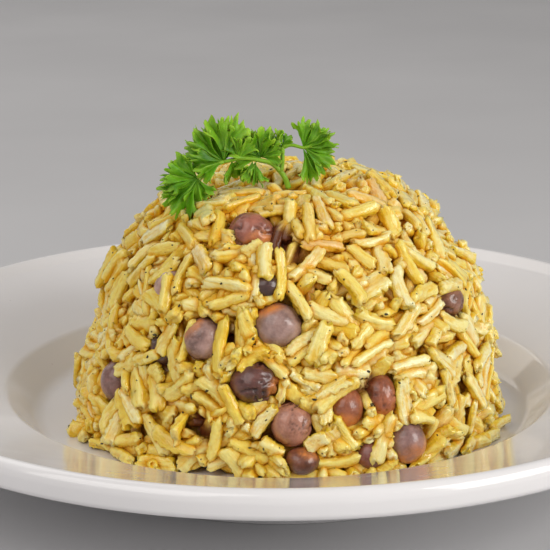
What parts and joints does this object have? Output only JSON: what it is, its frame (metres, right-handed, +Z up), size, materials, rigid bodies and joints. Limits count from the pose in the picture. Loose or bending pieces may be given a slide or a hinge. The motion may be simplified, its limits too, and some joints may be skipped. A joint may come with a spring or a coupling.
{
  "type": "rice and beans plate",
  "caption": "Moulded mound of yellow rice with brown pigeon peas on a thick white plate, with a sprig of curly parsley on top.",
  "frame": {"origin": "middle of the plate's foot ring, where it stands", "axes": "+Z up along the plate's axis; the front, with the most peas and the stem of the sprig, faces -Y; +X is to the right seen from the front"},
  "size_m": [0.175, 0.175, 0.072],
  "materials": {
    "glaze": "thick white glaze, glossy, with faint wear",
    "rice": null,
    "pea": null,
    "parsley": null
  },
  "bodies": {
    "root": {"plate": "glaze", "rice_mound": "rice", "parsley_sprig": "parsley", "pea_01": "pea", "pea_02": "pea", "pea_03": "pea", "pea_04": "pea", "pea_05": "pea", "pea_06": "pea", "pea_07": "pea", "pea_08": "pea", "pea_09": "pea", "pea_10": "pea", "pea_11": "pea", "pea_12": "pea", "pea_13": "pea", "pea_14": "pea", "pea_15": "pea", "pea_16": "pea", "pea_17": "pea", "pea_18": "pea", "pea_19": "pea", "pea_20": "pea", "pea_21": "pea", "pea_22": "pea"}
  },
  "joints": []
}
